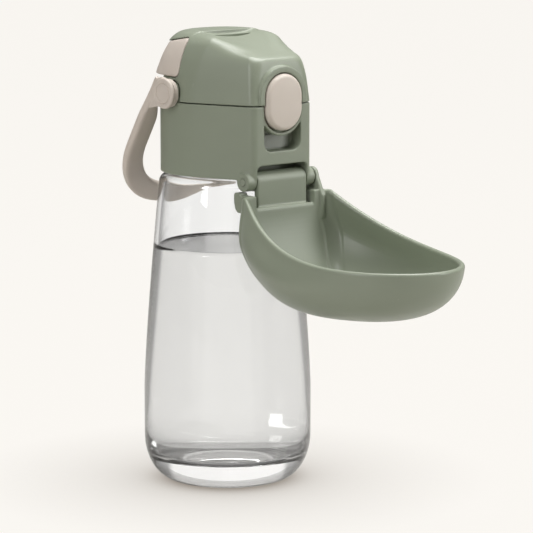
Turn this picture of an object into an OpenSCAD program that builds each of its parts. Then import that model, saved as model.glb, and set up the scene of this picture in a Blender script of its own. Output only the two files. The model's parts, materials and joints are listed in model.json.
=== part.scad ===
// Dog travel water bottle: a clear tapered bottle, a screw-on cap with a
// flip-up lid and push button, a swinging carry handle and a fold-out bowl.
// Front is +X, up is +Z. The origin is on the table, under the bottle's axis.

/* [Bottle] */
// Outer radius at the widest part of the body
body_r = 38.5; // [36:0.5:42]
// Height where the straight belly ends and the taper starts
belly_z = 44; // [34:1:60]
// Height where the shoulder starts to round over
shoulder_z = 141; // [125:1:160]
// Outer radius at the shoulder
shoulder_r = 31.8; // [30.5:0.1:33]
// Height of the rounded shoulder
shoulder_h = 4.4; // [3:0.1:5]
// Thickness of the bottle's wall
bottle_wall = 2.6; // [1.6:0.1:3.4]
// Width of the rounding at the foot
foot_round_w = 17; // [12:0.5:19]
// Height of the rounding at the foot
foot_round_h = 22; // [14:1:26]
// Thickness of the floor over the punt
floor_t = 7; // [4:0.5:10]
// Radius of the punt under the floor
punt_r = 18; // [12:0.5:20]
// Height of the punt
punt_h = 5; // [2:0.5:7]
// Outer radius of the neck
neck_r = 26.6; // [24:0.1:27]
// Wall of the neck
neck_wall = 3; // [2:0.1:4]
// Height of the neck over the shoulder
neck_h = 23; // [20:0.5:26]

/* [Collar] */
// Distance from the axis to the flat front of the cap
cap_front = 39.6; // [38.5:0.1:42]
// Half the width of the flat front
front_half_w = 18.2; // [17.5:0.1:20]
// Radius of the front's upright corners
front_corner_r = 4; // [2:0.5:6]
// Height of the collar
collar_h = 32; // [31:0.5:36]
// Wall of the collar
collar_wall = 2.5; // [2:0.1:3]
// Wall of the threaded sleeve inside the collar
core_wall = 1.45; // [1.2:0.05:2]
// Step from the shoulder's start up to the collar's lower edge
collar_lift = 5.2; // [4.6:0.1:6]
// Thickness of the deck inside the collar
deck_t = 4; // [3:0.2:5]
// Thickness of the seal on the neck
seal_t = 1.8; // [1:0.1:2.5]

/* [Lid] */
// Height of the lid
lid_h = 33; // [30:0.5:38]
// How far the lid's front slopes down from its top
lid_front_drop = 11; // [6:0.5:14]
// How far the lid's rounding reaches in from its side
lid_edge = 15; // [12:0.5:17]
// Wall of the lid at its lower edge
lid_wall = 3; // [2.5:0.1:3.5]
// Radius of the lid hinge's barrel
lid_barrel_r = 3.2; // [2.8:0.1:3.6]
// Radius of the lid hinge's pin
lid_pin_r = 1.5; // [1.2:0.1:1.8]
// Length of the slot in the lid's top
top_slot_len = 24; // [16:1:28]
// Width of the slot in the lid's top
top_slot_w = 4.6; // [3:0.2:6]
// Thickness of the rear grip pad
pad_t = 2.6; // [2:0.1:3]

/* [Button] */
// Half the width of the button
button_half_w = 9.9; // [8:0.1:10.5]
// Height of the button
button_h = 27; // [24:0.5:28]
// How far the button stands out of the cap's front
button_proud = 2.6; // [2:0.1:3.5]
// Travel of the button
button_travel = 2.5; // [1.5:0.1:2.8]
// Radius of the button's stem
stem_r = 2.2; // [1.8:0.1:2.4]
// Radius of the spring's wire
wire_r = 0.3; // [0.25:0.01:0.35]

/* [Handle] */
// Reach of the handle from its pivot
handle_reach = 80; // [72:1:90]
// Half the width of the handle, outside
handle_half_w = 35.6; // [35:0.1:37]
// Width of the handle's band
band_w = 10; // [8:0.5:11]
// Thickness of the handle's band
band_t = 4.4; // [3:0.2:6]
// Angle of the resting handle back from straight down
handle_rest = 39; // [36:1:50]
// Radius of the handle pin's round head
head_r = 7.8; // [7:0.1:8.5]
// Radius of the handle pin's shaft
handle_pin_r = 2.4; // [2:0.1:3]

/* [Bowl] */
// Reach of the bowl from its hinge
bowl_reach = 114; // [100:1:120]
// Half the width of the bowl
bowl_half_w = 33; // [30:0.5:38]
// Depth of the bowl under its rim
bowl_depth = 32; // [26:0.5:36]
// Wall of the bowl
bowl_wall = 2.8; // [2.2:0.1:3.2]
// Drop from the hinge to the bowl's rim
rim_drop = 26.5; // [22:0.5:30]
// Radius of the knuckles of the bowl hinge
knuckle_r = 4.6; // [4.2:0.1:5]
// Half the length of the hinge leaf on the bowl
leaf_half_w = 14.4; // [12:0.1:14.8]
// Length of each knuckle on the collar
knuckle_len = 5; // [4:0.1:5.4]
// Radius of the bowl hinge's pin
bowl_pin_r = 1.6; // [1.3:0.1:2]

/* [Hidden] */
$fn = 96;

// Clearances: seats that touch, running fits and visible gaps
seat_gap = 0.05;
run_gap = 0.05;
part_gap = 0.4;
cut_over = 1;

// Heights that stack up from the bottle
neck_top = shoulder_z + neck_h;
collar_z = shoulder_z + collar_lift;
collar_top = collar_z + collar_h;
deck_z = neck_top + seal_t + 2 * seat_gap;
deck_top = deck_z + deck_t;
lid_z = collar_top + part_gap;
lid_top = lid_z + lid_h;
thread_gap = 0.4;
core_r = neck_r + thread_gap + core_wall;
cap_r = core_r + seat_gap + collar_wall;

// Spout, seal and vent on the deck
spout_r = 6.6;
spout_bore_r = 4.6;
spout_flange_r = 9;
spout_flange_t = 1.6;
spout_x = 8;
spout_h = 10;
ring_r = 0.8;
vent_x = -14;
vent_r = 1.6;
vent_head_r = 4;
vent_head_h = 2.2;
spout_z = deck_top + seat_gap;
spout_top = spout_z + spout_h;

// Lid hinge at the rear
lid_hinge_x = -(cap_r + 2.2 * lid_pin_r);
lid_hinge_z = collar_top + 1.2 * lid_pin_r;
lid_knuckle_half = 6;
lid_ear_len = 5;

// Pivot of the carry handle
ear_r = 5.2;
ear_skin = 0.6;
pivot_x = -2.7;
pivot_z = collar_top + ear_r + ear_skin;
eye_t = 2.5;
eye_r = 7.2;
eye_y = cap_r + part_gap + seat_gap;
head_y = eye_y + eye_t + run_gap * 3;
head_t = 2.2;
head_edge = 0.7;
head_ring_r = 5.1;
head_ring_w = 0.5;
head_ring_d = 0.35;
ear_inner_y = core_r - 5 * seat_gap;

// Bowl hinge under the collar's front
hinge_x = cap_front - 0.85 * knuckle_r;
hinge_z = collar_z - 0.15 * knuckle_r;
barrel_r = knuckle_r - 0.2;
knuckle_y = leaf_half_w + part_gap;
knuckle_end = knuckle_y + knuckle_len;
notch_h = 1.62 * knuckle_r;

// Button, its pocket and the recess under it
button_top = lid_z + 0.48 * lid_h;
button_mid = button_top - button_h / 2;
button_t = 5.6;
button_edge = 1;
pocket_gap = 0.5;
pocket_half_w = button_half_w + pocket_gap;
pocket_x = cap_front + button_proud - button_t - button_travel - pocket_gap;
recess_drop = 8.5;
recess_z = button_mid - button_h / 2 - recess_drop;
recess_corner_r = 3;
lip_w = 1;
lip_depth = 2.6;
arch_w = 3;
arch_proud = 1;
stem_drop = 1.9;
stem_z = collar_top - stem_r - stem_drop;
well_r = 4;
well_d = 3.4;
spring_gap = 0.5;
spring_mean_r = stem_r + spring_gap + wire_r;
spring_turns = 4;
hook_t = 2;
hook_x = core_r - 1.8 * hook_t;
hook_half_w = 5;
hook_lip = 1.4;
hook_rise = 8;
leaf_t = 0.8;
leaf_h = 6;
leaf_plate_half_w = 8;
leaf_stand = 1;

// Liner, plug and screws inside the lid
cavity_h = 10.5;
liner_t = 2;
liner_z = lid_z + cavity_h - liner_t - seat_gap;
catch_t = 1.8;
catch_h = 8;
plug_r = 8;
plug_nose_gap = 0.5;
plug_nose_r = spout_bore_r - plug_nose_gap;
plug_nose_h = 2;
screw_r = 1.2;
screw_head_r = 2.3;
screw_head_h = 1.4;
screw_len = 6;
screw_x = -16;
screw_y = 14;

// Rear grip pad, from over the pins' heads to under the lid's top
pad_sink = 1.2;
pad_drop = 5.4;
pad_z = pivot_z + head_r - pad_sink;
pad_top = lid_top - pad_drop;

// Bowl outline
bowl_rear_gap = 2.9;
bowl_rear_x = hinge_x + bowl_rear_gap;
bowl_tip_x = hinge_x + bowl_reach;
bowl_mid_x = bowl_tip_x - 1.66 * bowl_half_w;
bowl_rear_half_w = 22.4;
bowl_corner_r = 5;
bowl_rim_z = hinge_z - rim_drop;
bowl_rise_x = bowl_mid_x - 0.3 * bowl_half_w;
bowl_shoulder_z = hinge_z - knuckle_r - part_gap;
leaf_drop = 12;
bowl_ledge_z = hinge_z - leaf_drop;
ear_gap = 0.9;
ear_t = 2.6;
rib_drop = 23;
rib_w = 4;
lug_back = 4.2;
lug_h = 8;

// Colours of the plastics
sage = [0.52, 0.55, 0.48];
taupe = [0.71, 0.66, 0.61];
clear = [0.85, 0.88, 0.9, 0.35];
milk = [0.93, 0.93, 0.9];
steel = [0.72, 0.73, 0.75];
soft_grey = [0.55, 0.57, 0.56];

// A closed solid through rings of points that all have the same count
module loft(rings) {
    n = len(rings[0]);
    m = len(rings);
    pts = [for (ring = rings) for (p = ring) p];
    first_mid = mean(rings[0]);
    last_mid = mean(rings[m - 1]);
    sides = [for (k = [0 : m - 2]) for (i = [0 : n - 1])
        let (a = k * n + i, b = k * n + (i + 1) % n, c = b + n, d = a + n)
            each [[a, d, c], [a, c, b]]];
    start = [for (i = [0 : n - 1]) [m * n, i, (i + 1) % n]];
    end = [for (i = [0 : n - 1]) [m * n + 1, (m - 1) * n + (i + 1) % n, (m - 1) * n + i]];
    polyhedron([each pts, first_mid, last_mid], concat(sides, start, end));
}

function mean(pts) = [for (k = [0 : len(pts[0]) - 1]) sum([for (p = pts) p[k]]) / len(pts)];
function sum(list, i = 0) = i < len(list) ? list[i] + sum(list, i + 1) : 0;
function clamp01(t) = min(1, max(0, t));
function ease(t) = let (u = clamp01(t)) u * u * (3 - 2 * u);

// Plan of the cap: a round back that runs on straight flanks to a flat front
function cap_plan(inset = 0) =
    let (r = cap_r - inset, rc = max(front_corner_r - 0.4 * inset, front_corner_r / 4),
         cx = cap_front - inset - rc, cy = front_half_w - inset - rc,
         a = atan2(cy, cx) + acos((r - rc) / norm([cx, cy])),
         steps = 6, rear_steps = 40)
    [for (k = [0 : steps]) [cx + rc * cos(a * k / steps), cy + rc * sin(a * k / steps)],
     for (k = [0 : rear_steps]) let (t = a + (360 - 2 * a) * k / rear_steps) [r * cos(t), r * sin(t)],
     for (k = [0 : steps]) let (t = a * (k / steps - 1)) [cx + rc * cos(t), rc * sin(t) - cy]];

// An outline in Y and Z, pushed along X from x0 to x1
module along_x(x0, x1) {
    translate([x0, 0, 0]) rotate([90, 0, 90]) linear_extrude(x1 - x0) children();
}

// An outline in X and Z, pushed along Y from y0 to y1
module along_y(y0, y1) {
    translate([0, y1, 0]) rotate([90, 0, 0]) linear_extrude(y1 - y0) children();
}

// A round bar along Y
module bar_y(r, y0, y1, x, z) {
    translate([x, y1, z]) rotate([90, 0, 0]) cylinder(r = r, h = y1 - y0);
}

module box(x0, x1, y0, y1, z0, z1) {
    translate([x0, y0, z0]) cube([x1 - x0, y1 - y0, z1 - z0]);
}

module both_sides() {
    children();
    mirror([0, 1, 0]) children();
}

// Radius of the bottle's outer side at share t of the way up its taper
function side_r(t) = body_r - (body_r - shoulder_r) * pow(t, 1.28);

function bottle_side(inset, steps = 10) =
    [for (k = [0 : steps]) let (t = k / steps)
        [side_r(t) - inset, belly_z + (shoulder_z - belly_z) * t]];

module bottle_body() {
    floor_z = punt_h + floor_t;
    inner_foot_w = foot_round_w - bottle_wall;
    inner_foot_h = foot_round_h - floor_t / 2;
    inner_r = body_r - bottle_wall;
    bore_r = neck_r - neck_wall;
    steps = 8;
    outer = [
        for (k = [0 : steps]) let (a = 90 * (1 - k / steps)) [punt_r * cos(a), punt_h * sin(a)],
        for (k = [0 : steps]) let (a = 90 * k / steps)
            [body_r - foot_round_w * (1 - sin(a)), foot_round_h * (1 - cos(a))],
        each bottle_side(0),
        for (k = [1 : steps]) let (a = 90 * k / steps)
            [neck_r + (shoulder_r - neck_r) * cos(a), shoulder_z + shoulder_h * sin(a)],
        [neck_r, neck_top]];
    side_down = bottle_side(bottle_wall);
    n = len(side_down);
    foot = [for (k = [0 : steps]) let (a = 90 * (1 - k / steps))
        [inner_r - inner_foot_w * (1 - sin(a)), floor_z + inner_foot_h * (1 - cos(a))]];
    color(clear)
        rotate_extrude()
            polygon([
                each outer,
                [bore_r, neck_top],
                for (k = [0 : steps]) let (a = 90 * (1 - k / steps))
                    [bore_r + (shoulder_r - bottle_wall - bore_r) * cos(a),
                     shoulder_z + (shoulder_h - bottle_wall / 2) * sin(a)],
                for (k = [1 : n - 1]) side_down[n - 1 - k],
                each foot,
                [0, floor_z]]);
}

module neck_seal() {
    color(soft_grey)
        translate([0, 0, neck_top + seat_gap])
            difference() {
                cylinder(r = neck_r, h = seal_t);
                translate([0, 0, -cut_over])
                    cylinder(r = neck_r - neck_wall, h = seal_t + 2 * cut_over);
            }
}

// Stadium outline in Y and Z for the button and its pocket
module stadium(half_w, z0, z1) {
    translate([0, z0 + half_w]) circle(half_w);
    translate([0, z1 - half_w]) circle(half_w);
    translate([-half_w, z0 + half_w]) square([2 * half_w, z1 - z0 - 2 * half_w]);
}

module pocket_outline() {
    r = recess_corner_r;
    w = pocket_half_w;
    for (s = [-1, 1])
        translate([s * (w - r), recess_z + r]) circle(r);
    translate([r - w, recess_z]) square([2 * (w - r), r]);
    translate([-w, recess_z + r]) square([2 * w, collar_top + cut_over - recess_z - r]);
}

// Thin curved lip that runs round the button's lower end
module pocket_lip() {
    r = pocket_half_w + lip_w;
    z = button_mid - button_h / 2 + button_half_w;
    along_x(cap_front - lip_depth - lip_w, cap_front - lip_w / 2)
        difference() {
            translate([0, z]) circle(r);
            translate([0, z]) circle(r - lip_w);
            translate([-r - cut_over, z]) square([2 * (r + cut_over), 2 * r]);
        }
}

module bowl_knuckle() {
    bar_y(knuckle_r, knuckle_y, knuckle_end, hinge_x, hinge_z);
    box(hinge_x - knuckle_r, hinge_x + knuckle_r / 3, knuckle_y, knuckle_end,
        hinge_z, hinge_z + knuckle_r);
}

module handle_ear() {
    bar_y(ear_r, ear_inner_y, cap_r + seat_gap, pivot_x, pivot_z);
    box(pivot_x - ear_r, pivot_x + ear_r, ear_inner_y, cap_r - ear_skin,
        collar_top - 4 * part_gap, pivot_z);
}

module lid_ear() {
    y0 = lid_knuckle_half + part_gap;
    bar_y(lid_barrel_r, y0, y0 + lid_ear_len, lid_hinge_x, lid_hinge_z);
    along_y(y0, y0 + lid_ear_len)
        polygon([[lid_hinge_x - lid_barrel_r, lid_hinge_z],
                 [-cap_r + collar_wall, lid_hinge_z - 3.4 * lid_barrel_r],
                 [-cap_r + collar_wall, collar_top],
                 [lid_hinge_x + lid_barrel_r / 2, collar_top]]);
}

module collar() {
    color(sage) {
        difference() {
            union() {
                translate([0, 0, collar_z]) linear_extrude(collar_h) polygon(cap_plan());
                both_sides() bowl_knuckle();
                both_sides() handle_ear();
                both_sides() lid_ear();
            }
            translate([0, 0, collar_z - cut_over])
                cylinder(r = cap_r - collar_wall, h = collar_h + pivot_z);
            along_x(pocket_x, cap_front + cut_over) pocket_outline();
            box(hinge_x - barrel_r - 2 * part_gap, cap_front + cut_over, -knuckle_y, knuckle_y,
                collar_z - cut_over, hinge_z + notch_h);
            bar_y(bowl_pin_r + run_gap, -knuckle_end - cut_over, knuckle_end + cut_over,
                  hinge_x, hinge_z);
            bar_y(handle_pin_r + run_gap, -cap_r - cut_over, cap_r + cut_over, pivot_x, pivot_z);
            bar_y(lid_pin_r + run_gap, -cap_r, cap_r, lid_hinge_x, lid_hinge_z);
            bar_y(lid_barrel_r + part_gap, -lid_knuckle_half - part_gap,
                  lid_knuckle_half + part_gap, lid_hinge_x, lid_hinge_z);
            translate([0, 0, stem_z]) rotate([0, 90, 0])
                cylinder(r = stem_r + run_gap, h = cap_front);
        }
        pocket_lip();
    }
}

// Inner threaded sleeve that screws on the neck and closes it with a deck
module cap_core() {
    color(milk)
        difference() {
            translate([0, 0, collar_z + seat_gap])
                cylinder(r = core_r, h = deck_top - collar_z - seat_gap);
            translate([0, 0, collar_z - cut_over])
                cylinder(r = neck_r + thread_gap, h = deck_z - collar_z + cut_over);
            translate([spout_x, 0, deck_z - cut_over])
                cylinder(r = spout_bore_r, h = deck_t + 2 * cut_over);
            translate([vent_x, 0, deck_z - cut_over])
                cylinder(r = vent_r, h = deck_t + 2 * cut_over);
        }
}

module drinking_spout() {
    color(milk)
        translate([spout_x, 0, spout_z])
            difference() {
                union() {
                    cylinder(r = spout_flange_r, h = spout_flange_t);
                    cylinder(r = spout_r, h = spout_h - ring_r);
                    translate([0, 0, spout_h - ring_r])
                        cylinder(r1 = spout_r, r2 = spout_r - ring_r, h = ring_r);
                }
                translate([0, 0, -cut_over]) cylinder(r = spout_bore_r, h = spout_h + 2 * cut_over);
            }
}

// Round ring that seals the spout's foot to the deck
module spout_seal() {
    color(soft_grey)
        translate([spout_x, 0, spout_z + spout_flange_t + ring_r + seat_gap])
            rotate_extrude() translate([spout_r + ring_r + seat_gap, 0]) circle(ring_r, $fn = 24);
}

// Mushroom valve that lets air in as water leaves
module vent_valve() {
    stem_end_h = 1.2;
    color(soft_grey)
        translate([vent_x, 0, deck_top + seat_gap])
            rotate_extrude()
                polygon([[0, -deck_t - stem_end_h], [vent_r - run_gap, -deck_t - stem_end_h],
                         [vent_r - run_gap, 0], [vent_head_r, 0], [vent_head_r, vent_head_h / 3],
                         [vent_head_r / 2, vent_head_h], [0, vent_head_h]]);
}

// Flat spring leaf on the recess's back wall
module latch_leaf() {
    color(soft_grey)
        box(pocket_x + seat_gap, pocket_x + seat_gap + leaf_t, -leaf_plate_half_w, leaf_plate_half_w,
            recess_z + leaf_stand, recess_z + leaf_stand + leaf_h);
}

function stadium_ring(half_w, z0, z1, x, steps = 12) =
    [for (k = [0 : steps]) let (a = 180 * k / steps)
        [x, half_w * cos(a), z1 - half_w + half_w * sin(a)],
     for (k = [0 : steps]) let (a = 180 + 180 * k / steps)
        [x, half_w * cos(a), z0 + half_w + half_w * sin(a)]];

module button_cap() {
    x1 = cap_front + button_proud;
    x0 = x1 - button_t;
    z0 = button_mid - button_h / 2;
    edge_shares = [[0, 0], [1 - button_edge / button_t, 0], [1 - 0.65 * button_edge / button_t, 0.1],
                   [1 - 0.3 * button_edge / button_t, 0.4], [1, 1]];
    color(taupe)
        difference() {
            loft([for (s = edge_shares)
                stadium_ring(button_half_w - s[1] * button_edge, z0 + s[1] * button_edge,
                             button_top - s[1] * button_edge, x0 + s[0] * button_t)]);
            translate([x0 - cut_over, 0, stem_z]) rotate([0, 90, 0])
                cylinder(r = well_r, h = well_d + cut_over);
        }
}

// Stem that pushes the latch hook inside the collar
module button_latch() {
    x1 = cap_front + button_proud - button_t + well_d - seat_gap;
    color(taupe) {
        translate([hook_x, 0, stem_z]) rotate([0, 90, 0]) cylinder(r = stem_r, h = x1 - hook_x);
        box(hook_x, hook_x + hook_t, -hook_half_w, hook_half_w,
            deck_top + part_gap, stem_z + hook_rise);
        box(hook_x, hook_x + hook_t + hook_lip, -hook_half_w, hook_half_w,
            stem_z + hook_rise - hook_t, stem_z + hook_rise);
    }
}

// Compression spring in the well behind the button
module button_spring() {
    x0 = pocket_x + wire_r + seat_gap;
    x1 = cap_front + button_proud - button_t + well_d - wire_r - seat_gap;
    rings_a_turn = 14;
    sides = 6;
    n = rings_a_turn * spring_turns;
    color(steel)
        loft([for (k = [0 : n]) let (a = 360 * k / rings_a_turn, x = x0 + (x1 - x0) * k / n)
            [for (j = [0 : sides - 1]) let (b = 360 * j / sides)
                let (r = spring_mean_r + wire_r * cos(b))
                    [x + wire_r * sin(b), r * cos(a), stem_z + r * sin(a)]]]);
}

module handle_pin() {
    bar_y(handle_pin_r, ear_inner_y, head_y + head_t / 2, pivot_x, pivot_z);
    translate([pivot_x, head_y, pivot_z]) rotate([-90, 0, 0])
        difference() {
            union() {
                cylinder(r = head_r, h = head_t - head_edge);
                translate([0, 0, head_t - head_edge])
                    cylinder(r1 = head_r, r2 = head_r - head_edge, h = head_edge);
            }
            translate([0, 0, head_t - head_ring_d])
                difference() {
                    cylinder(r = head_ring_r + head_ring_w / 2, h = head_t);
                    cylinder(r = head_ring_r - head_ring_w / 2, h = head_t);
                }
        }
}

module handle_pins() {
    color(taupe) both_sides() handle_pin();
}

// Shares of the arm's length, with the band's width and thickness there
arm_shares = [[0.03, 0.25, 3.1], [0.12, 0.25, 2.6], [0.22, 0.29, 2.05], [0.32, 0.4, 1.6],
              [0.45, 0.64, 1.25], [0.6, 0.9, 1.08], [0.8, 1, 1], [1, 1, 1]];

// One cross section of the band, from its inner to its outer edge
function band_ring(inner, outer, t) =
    let (soft = t / 4, d = outer - inner, e = d / norm(d) * min(soft, norm(d) / 4), h = t / 2)
    [for (c = [[inner, h - soft], [inner, soft - h], [inner + e, -h], [outer - e, -h],
               [outer, soft - h], [outer, h - soft], [outer - e, h], [inner + e, h]])
        [c[1], c[0][1], -c[0][0]]];

function handle_half() =
    let (arm_len = 0.57 * handle_reach, bend = handle_reach - arm_len, steps = 9)
    [for (s = arm_shares)
        let (flare = ease(2.2 * (s[0] - head_r / arm_len)),
             y = eye_y + eye_t + (handle_half_w - eye_y - eye_t) * flare)
            band_ring([s[0] * arm_len, y - s[1] * band_w], [s[0] * arm_len, y], s[2] * band_t),
     for (k = [1 : steps]) let (a = 90 * k / steps)
        band_ring([arm_len + (bend - band_w) * sin(a), (handle_half_w - band_w) * cos(a)],
                  [arm_len + bend * sin(a), handle_half_w * pow(cos(a), 0.92)], band_t)];

module carry_handle() {
    half = handle_half();
    n = len(half);
    other = [for (k = [1 : n - 1]) [for (p = half[n - 1 - k]) [p[0], -p[1], p[2]]]];
    color(taupe)
        difference() {
            union() {
                translate([pivot_x, 0, pivot_z]) rotate([0, handle_rest, 0])
                    loft([each half, each other]);
                both_sides() bar_y(eye_r, eye_y, eye_y + eye_t, pivot_x, pivot_z);
            }
            bar_y(handle_pin_r + run_gap, -head_y - cut_over, head_y + cut_over, pivot_x, pivot_z);
        }
}

// Shares of the lid's height and of its edge, from its foot to its top
lid_shares = [[0, 0], [0.22, 0.03], [0.4, 0.08], [0.54, 0.14], [0.66, 0.22], [0.76, 0.32],
              [0.85, 0.45], [0.92, 0.6], [0.97, 0.78], [1, 1]];

// Height of the lid's top over a point of its plan
function lid_crown(x) = lid_top - lid_front_drop * ease((x - 0.16 * cap_front) / (1.02 * cap_front));

function lid_ring(s, shrink) =
    let (z0 = lid_z)
    [for (p = cap_plan(s[1] * lid_edge + shrink))
        [p[0], p[1], z0 + s[0] * (lid_crown(p[0]) - shrink - z0)]];

module lid_solid(shrink = 0) {
    loft([for (s = lid_shares) lid_ring(s, shrink)]);
}

// Space at the lid's rear that holds the grip pad
module pad_space(gap) {
    box(-2 * cap_r, pivot_x + ear_r - gap, -2 * cap_r, 2 * cap_r,
        pad_z + gap, pad_top - gap);
}

module lid_arch() {
    w = pocket_half_w + arch_w;
    along_x(cap_front - lid_wall, cap_front + arch_proud)
        intersection() {
            stadium(w, button_mid - button_h / 2, button_top + pocket_gap + arch_w);
            translate([-w, lid_z]) square([2 * w, lid_h]);
        }
}

module lid_shell() {
    barrel_y = lid_knuckle_half;
    color(sage)
        difference() {
            union() {
                lid_solid();
                lid_arch();
                bar_y(lid_barrel_r, -barrel_y, barrel_y, lid_hinge_x, lid_hinge_z);
                box(lid_hinge_x, -cap_r + lid_wall, -barrel_y, barrel_y,
                    lid_z, lid_hinge_z + lid_barrel_r);
            }
            translate([0, 0, lid_z - cut_over])
                linear_extrude(cavity_h + cut_over) polygon(cap_plan(lid_wall));
            difference() {
                pad_space(0);
                lid_solid(pad_t + part_gap);
            }
            along_x(pocket_x - pocket_gap, cap_front + 2 * button_proud)
                stadium(pocket_half_w, button_mid - button_h / 2, button_top + pocket_gap);
            both_sides() {
                box(pivot_x - ear_r - part_gap, pivot_x + ear_r + 4 * part_gap,
                    ear_inner_y - part_gap, 2 * cap_r, lid_z - cut_over, pivot_z);
                bar_y(ear_r + part_gap, ear_inner_y - part_gap, 2 * cap_r, pivot_x, pivot_z);
                bar_y(lid_barrel_r + part_gap, barrel_y, barrel_y + lid_ear_len + 2 * part_gap,
                      lid_hinge_x, lid_hinge_z);
            }
            bar_y(lid_pin_r + run_gap, -cap_r, cap_r, lid_hinge_x, lid_hinge_z);
            box(spout_x - top_slot_w, spout_x, -top_slot_len / 2, top_slot_len / 2,
                lid_top - top_slot_w / 2, lid_top + cut_over);
            for (y = [-screw_y, screw_y])
                translate([screw_x, y, liner_z])
                    cylinder(r = screw_r + run_gap, h = screw_len);
        }
}

module lid_liner() {
    inset = lid_wall + part_gap;
    catch_x = hook_x + hook_t + hook_lip + part_gap;
    color(milk)
        difference() {
            union() {
                intersection() {
                    translate([0, 0, liner_z]) linear_extrude(liner_t) polygon(cap_plan(inset));
                    box(-2 * cap_r, pocket_x - 2 * pocket_gap, -ear_inner_y,
                        ear_inner_y - 2 * part_gap, lid_z, lid_top);
                }
                box(catch_x, catch_x + catch_t, -hook_half_w, hook_half_w,
                    liner_z - catch_h, liner_z);
            }
            for (y = [-screw_y, screw_y])
                translate([screw_x, y, liner_z - cut_over])
                    cylinder(r = screw_r + run_gap, h = liner_t + 2 * cut_over);
        }
}

module spout_plug() {
    z0 = spout_top + seat_gap;
    color(soft_grey)
        translate([spout_x, 0, 0])
            rotate_extrude()
                polygon([[0, z0 - plug_nose_h], [plug_nose_r - 0.25 * plug_nose_h, z0 - plug_nose_h],
                         [plug_nose_r, z0], [plug_r, z0], [plug_r, liner_z - seat_gap],
                         [0, liner_z - seat_gap]]);
}

module lid_screws() {
    color(steel)
        for (y = [-screw_y, screw_y])
            translate([screw_x, y, liner_z - seat_gap]) {
                cylinder(r = screw_r, h = screw_len - cut_over);
                translate([0, 0, -screw_head_h])
                    cylinder(r1 = 0.7 * screw_head_r, r2 = screw_head_r, h = screw_head_h);
            }
}

module rear_grip_pad() {
    color(taupe)
        intersection() {
            difference() {
                lid_solid(seat_gap);
                lid_solid(pad_t + seat_gap);
            }
            pad_space(part_gap);
        }
}

module lid_hinge_pin() {
    y = lid_knuckle_half + part_gap + lid_ear_len;
    color(steel) bar_y(lid_pin_r, -y, y, lid_hinge_x, lid_hinge_z);
}

// Half width of the bowl's rim at x
function bowl_w(x) =
    let (back = clamp01((bowl_mid_x - x) / (bowl_mid_x - bowl_rear_x)))
    bowl_half_w - (bowl_half_w - bowl_rear_half_w) * pow(back, 1.9);

// Plan of the bowl's rim, inset by the wall for its inside
function bowl_plan(inset) =
    let (tip = bowl_tip_x - inset, rear = bowl_rear_x + inset, rc = bowl_corner_r,
         front_steps = 12, side_steps = 7, corner_steps = 4, rear_steps = 5,
         half = [
            for (k = [0 : front_steps]) let (a = 90 * k / front_steps)
                [bowl_mid_x + (tip - bowl_mid_x) * cos(a), (bowl_half_w - inset) * sin(a), 0],
            for (k = [1 : side_steps])
                let (x = bowl_mid_x - (bowl_mid_x - rear - rc) * k / side_steps)
                    [x, bowl_w(x) - inset, 0],
            for (k = [1 : corner_steps]) let (a = 90 * k / corner_steps)
                [rear + rc * (1 - sin(a)), bowl_w(rear + rc) - inset - rc * (1 - cos(a)), 0],
            for (k = [1 : rear_steps])
                [rear, (bowl_w(rear + rc) - inset - rc) * (1 - k / rear_steps), 1]])
    [each half, for (k = [1 : len(half) - 2]) let (p = half[len(half) - 1 - k]) [p[0], -p[1], p[2]]];

// Height of the rim, which climbs to the shoulders and drops to the rear ledge
function bowl_z(p) = p[2] == 1 ? bowl_ledge_z :
    bowl_rim_z + (bowl_shoulder_z - bowl_rim_z)
        * pow(clamp01((bowl_rise_x - p[0]) / (bowl_rise_x - bowl_rear_x - bowl_corner_r)), 2.6);

// One ring of the bowl at share t of the way down, outside or inside
function bowl_ring(t, inset, bottom) =
    let (side = pow(cos(90 * t), 0.62), down = sin(90 * t))
    [for (p = bowl_plan(inset))
        let (mid_x = bowl_mid_x - 0.1 * bowl_half_w, z = bowl_z(p))
            [mid_x + (p[0] - mid_x) * side, p[1] * side, z + (bottom - z) * down]];

module bowl_bare() {
    bottom = bowl_rim_z - bowl_depth;
    deep_shares = [0.97, 0.9, 0.8, 0.68, 0.55, 0.42, 0.28, 0.14, 0.05];
    n = len(deep_shares);
    soft = bowl_wall / 3;
    rim = [for (p = bowl_plan(bowl_wall / 2)) [p[0], p[1], bowl_z(p) + soft / 2]];
    loft([
        for (t = deep_shares) bowl_ring(t, 0, bottom),
        [for (p = bowl_plan(0)) [p[0], p[1], bowl_z(p) - soft]],
        rim,
        [for (p = bowl_plan(bowl_wall)) [p[0], p[1], bowl_z(p) - soft]],
        for (k = [0 : n - 1]) bowl_ring(deep_shares[n - 1 - k], bowl_wall, bottom + bowl_wall)]);
}

// Leaf that hangs from the hinge barrel down to the bowl's rear wall
module bowl_leaf() {
    bar_y(barrel_r, -leaf_half_w, leaf_half_w, hinge_x, hinge_z);
    along_y(-leaf_half_w, leaf_half_w)
        polygon([[hinge_x + barrel_r, hinge_z], [hinge_x, hinge_z],
                 [hinge_x + barrel_r - bowl_wall, hinge_z - barrel_r],
                 [hinge_x + barrel_r - bowl_wall, bowl_ledge_z - bowl_wall],
                 [hinge_x + barrel_r, bowl_ledge_z - bowl_wall]]);
}

// Shoulder lug that bears under a knuckle and stops the bowl when it is open
module bowl_lug() {
    box(hinge_x - lug_back, bowl_rear_x + bowl_wall, knuckle_end - bowl_wall, bowl_rear_half_w + part_gap,
        bowl_shoulder_z - lug_h, bowl_shoulder_z);
}

// Ear on the far side that takes the pin's end and runs down as a rib
module bowl_ear() {
    y0 = knuckle_end + ear_gap;
    bar_y(barrel_r, y0, y0 + ear_t, hinge_x, hinge_z);
    box(hinge_x, hinge_x + rib_w + bowl_wall / 2, y0, y0 + ear_t, hinge_z - rib_drop, hinge_z);
}

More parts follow.
